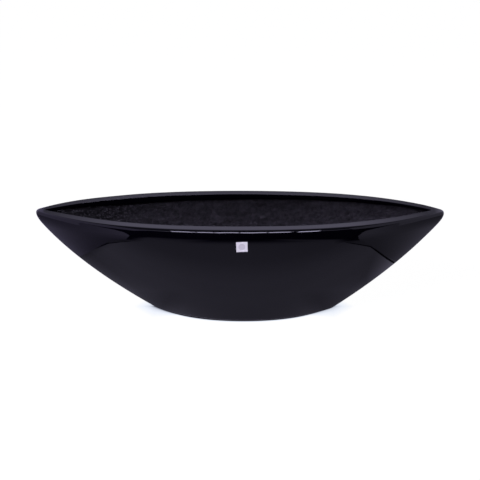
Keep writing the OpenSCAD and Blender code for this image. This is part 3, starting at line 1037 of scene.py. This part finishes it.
# Each side's card: its side, tint and foot, then the front edges of its low and its high part as y and z,
# then the low part's levels and their fall along Y, and the high part's level and its fall
walls = (
    ("left", -1, left_tint, 0.3825, (
        (-0.33, 0.008), (-0.37, 0.045), (-0.42, 0.085), (-0.455, 0.13), (-0.455, 0.24), (-0.42, 0.295),
        (-0.34, 0.325), (-0.27, 0.338), (-0.18, 0.345),
    ), (
        (-0.16, 0.350), (-0.27, 0.378), (-0.36, 0.435), (-0.50, 0.475), (-0.70, 0.60), (-1.25, 1.30),
    ), (0.52, 1.15), (-0.42, 0.0, 1.11, 0.44), 1.30, (0.0, 0.75, 1.0, 0.35)),
    ("right", 1, light_tint, 0.3735, (
        (-0.25, 0.003), (-0.292, 0.03), (-0.344, 0.085), (-0.367, 0.17), (-0.36, 0.22), (-0.31, 0.265),
        (-0.25, 0.295), (-0.16, 0.318),
    ), (
        (-0.16, 0.324), (-0.25, 0.348), (-0.29, 0.385), (-0.42, 0.46), (-0.56, 0.60), (-0.65, 0.90),
    ), (0.55, 1.08), (-0.28, 0.0, 0.95, 0.40), 1.25, (0.06, 0.43, 0.95, 0.25)),
)


def leaning(side, foot_x, outline):
    """Corners of a card that leans outwards from its foot, from an outline in y and z."""
    return [(side * (foot_x + wall_lean * z), y, z) for y, z in outline]


cards = []
for name, side, tint, foot_x, low_front, high_front, low_levels, low_fall, high_level, high_fall in walls:
    low = (*low_front, (low_back_y, low_front[-1][1]), (low_back_y, low_front[0][1]))
    high = (
        (high_front[0][0], joint_z), *high_front, (high_front[-1][0], wall_top_z),
        (wall_back_y, wall_top_z), (wall_back_y, joint_z),
    )
    low_glow = lit_card("card_low_" + name, (0.0, low_level_z, *low_levels), "Y", low_fall, tint)
    high_glow = lit_card("card_high_" + name, (0.0, 1.0, high_level, high_level), "Y", high_fall, tint)
    cards.append(flat_sheet("card_low_" + name, leaning(side, foot_x, low), low_glow))
    cards.append(flat_sheet("card_high_" + name, leaning(side, foot_x - high_overlap, high), high_glow))

backdrop_half_width = 0.9
backdrop_low_z = 0.36
backdrop_top_z = 1.55
backdrop_rise = (backdrop_low_z, 0.56, 0.0, 0.82)
backdrop_fall = (0.30, 0.52, 1.0, 0.42)
backdrop_edges = ((table_back_y, backdrop_low_z), (table_back_y, backdrop_top_z))
backdrop_glow = lit_card("backdrop", backdrop_rise, "X", backdrop_fall)
cards.append(span_sheet(
    "backdrop", -backdrop_half_width, backdrop_half_width, *backdrop_edges, backdrop_glow))

ceiling_half_width = 1.0
ceiling_z = 1.75
ceiling_front_y = -0.55
ceiling_edges = ((ceiling_front_y, ceiling_z), (table_back_y, ceiling_z))
ceiling_level = 0.28
ceiling_glow = lit_card("ceiling", (0.0, 1.0, ceiling_level, ceiling_level))
cards.append(span_sheet("ceiling", -ceiling_half_width, ceiling_half_width, *ceiling_edges, ceiling_glow))

# Row of light panes above the camera, with narrow bars between them and dim ends, which makes the bright line
# along the rim: where each starts and ends, and its level
pane_low = (-1.187, 1.357)
pane_high = (-0.933, 1.543)
pane_spans = (
    (-0.95, -0.50, 1.5), (-0.490, -0.338, 23.0), (-0.327, -0.311, 23.0), (-0.290, -0.173, 23.0),
    (-0.161, -0.007, 23.0), (0.006, 0.179, 23.0), (0.189, 0.350, 23.0), (0.382, 0.571, 27.0),
    (0.585, 0.95, 1.2),
)
for k, (from_x, to_x, level) in enumerate(pane_spans):
    pane = f"light_pane_{k}"
    pane_glow = lit_card(pane, (0.0, 1.0, level, level))
    cards.append(span_sheet(pane, from_x, to_x, pane_low, pane_high, pane_glow))
for card in cards:
    card.visible_camera = False
    card.visible_shadow = False
    card.visible_diffuse = False

# The key box lights the rough inside, the badge and the floor, and faces the middle of the vase
key_place = np.array([-0.90, -1.10, 1.30])
key_size = 0.8
key_watts = 28.5
key_lamp = bpy.data.lights.new("key_box", "AREA")
key_lamp.shape = "RECTANGLE"
key_lamp.size = key_size
key_lamp.size_y = key_size
key_lamp.energy = key_watts
key_lamp.color = light_tint
key_box = bpy.data.objects.new("key_box", key_lamp)
key_box.location = key_place
key_tilt = np.arctan2(np.hypot(key_place[0], key_place[1]), key_place[2])
key_box.rotation_euler = (key_tilt, 0, np.arctan2(key_place[0], -key_place[1]))
key_box.visible_glossy = False
bpy.context.scene.collection.objects.link(key_box)

# The world fills the shadows, is as dark as the room where the lacquer mirrors it, and white behind the vase
world = bpy.data.worlds.new("studio")
world.use_nodes = True
bpy.context.scene.world = world
add_to_world = partial(add_node, world.node_tree)
world_path = add_to_world("LightPath").outputs
fill, room = ((*(level * np.array(light_tint)), 1) for level in (fill_level, room_level))
fill_or_room = add_blend(add_to_world, world_path["Is Glossy Ray"], fill, room)
white_behind = add_blend(add_to_world, world_path["Is Camera Ray"], fill_or_room, (1, 1, 1, 1))
feed(world.node_tree.nodes["Background"], {"Color": white_behind})

camera_rise = np.radians(23.40)
camera_distance = 2.4
camera_data = bpy.data.cameras.new("camera")
camera_data.sensor_width = 36.0
camera_data.lens = 90.23
camera_data.shift_x = -0.0001
camera_data.shift_y = 0.0392
camera = bpy.data.objects.new("camera", camera_data)
camera.location = (
    0, -camera_distance * np.cos(camera_rise), height / 2 + camera_distance * np.sin(camera_rise),
)
camera.rotation_euler = (np.pi / 2 - camera_rise, 0, 0)
bpy.context.scene.collection.objects.link(camera)
bpy.context.scene.camera = camera
bpy.context.scene.view_settings.view_transform = "Standard"
